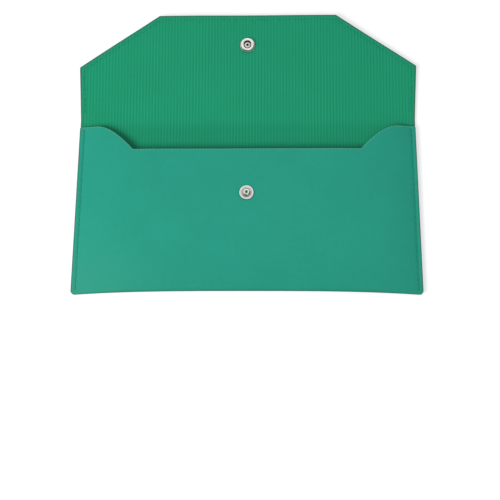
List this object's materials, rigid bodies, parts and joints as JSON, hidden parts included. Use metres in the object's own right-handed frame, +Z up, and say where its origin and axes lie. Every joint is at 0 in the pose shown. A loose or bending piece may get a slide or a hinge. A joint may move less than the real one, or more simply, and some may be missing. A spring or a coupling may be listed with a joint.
{
  "type": "cash envelope wallet",
  "caption": "Long slim envelope wallet: a lined sheet sewn into a scooped pocket, with a six-sided flap that folds over the front and shuts with a ring snap.",
  "frame": {"origin": "middle of the back panel's outside face, on the surface that the wallet lies on", "axes": "+X along the fold towards the right side seam, +Y from the pocket's bottom towards the open flap's tip, +Z up out of the front panel"},
  "size_m": [0.1898, 0.1578, 0.0093],
  "materials": {
    "leather": "satin fine-grained coated leather, sea green",
    "lining": "matt finely ribbed lining, deeper green",
    "thread": "sewing thread in the same green",
    "nickel": "bright nickel plate"
  },
  "bodies": {
    "pocket": {"pocket_leather": "leather", "pocket_lining": "lining", "left_seam_thread": "thread", "right_seam_thread": "thread", "left_seam_bobbin_thread": "thread", "right_seam_bobbin_thread": "thread", "snap_stud": "nickel", "snap_post": "nickel"},
    "flap": {"flap_leather": "leather", "flap_lining": "lining", "flap_seam_thread": "thread", "flap_bobbin_thread": "thread", "snap_cap": "nickel", "snap_socket": "nickel", "snap_spring": "nickel"}
  },
  "joints": [
    {"name": "flap_fold", "type": "hinge", "parent": "pocket", "child": "flap", "pos_m": [0, 0.0488, 0.0038], "axis": [1, 0, 0], "range_deg": [0, 172.1]}
  ]
}
